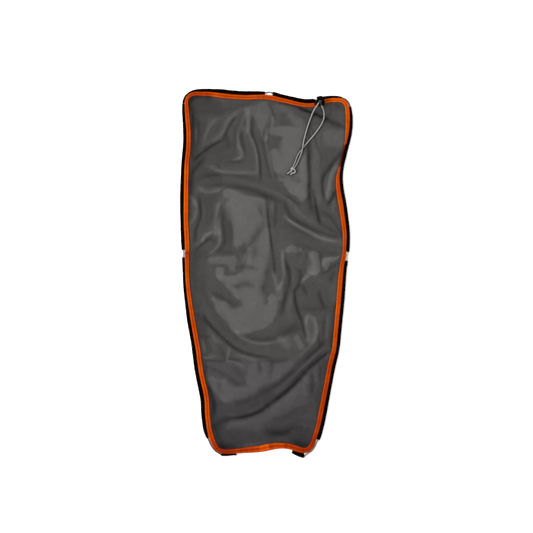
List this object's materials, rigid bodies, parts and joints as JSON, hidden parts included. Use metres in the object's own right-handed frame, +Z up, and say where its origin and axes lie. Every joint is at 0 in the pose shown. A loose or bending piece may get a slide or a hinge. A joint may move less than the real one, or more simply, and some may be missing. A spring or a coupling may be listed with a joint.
{
  "type": "mesh deck cover",
  "caption": "Fine-mesh kayak deck cover laid flat, bound in orange tape, with a shock cord in black sleeves round its edge, a sprung cord lock and a knotted loop of free cord.",
  "frame": {"origin": "on the surface the cover lies on, under the middle of its footprint", "axes": "+Z up; +Y along the cover towards its wide end and cord lock; +X across it"},
  "size_m": [0.3535, 0.7563, 0.0243],
  "materials": {
    "mesh": "fine knitted mesh, dark grey, matt, slightly see-through",
    "tape": "woven polyester tape, orange, matt, stitched along its middle",
    "sleeve": "woven tape, black, matt",
    "cord": "braided cover over rubber, grey, matt",
    "lock": "moulded, black, fine matt texture"
  },
  "bodies": {
    "cover": {"mesh_panel": "mesh", "edge_binding": "tape", "sleeve_bottom_right": "sleeve", "sleeve_right_lower": "sleeve", "sleeve_right_upper": "sleeve", "sleeve_top_right": "sleeve", "sleeve_top_middle": "sleeve", "sleeve_top_left": "sleeve", "sleeve_left_upper": "sleeve", "sleeve_left_lower": "sleeve", "sleeve_bottom_left": "sleeve", "cord_right": "cord", "cord_left": "cord", "lock_body": "lock", "strand_left": "cord", "strand_right": "cord", "knot": "cord"},
    "button": {"lock_button": "lock"}
  },
  "joints": [
    {"name": "button", "type": "slide", "parent": "cover", "child": "button", "axis": [0.2079, -0.9781, 0], "range_m": [0, 0.0035], "stiffness_N_per_m": 800, "springref_m": -0.003}
  ]
}
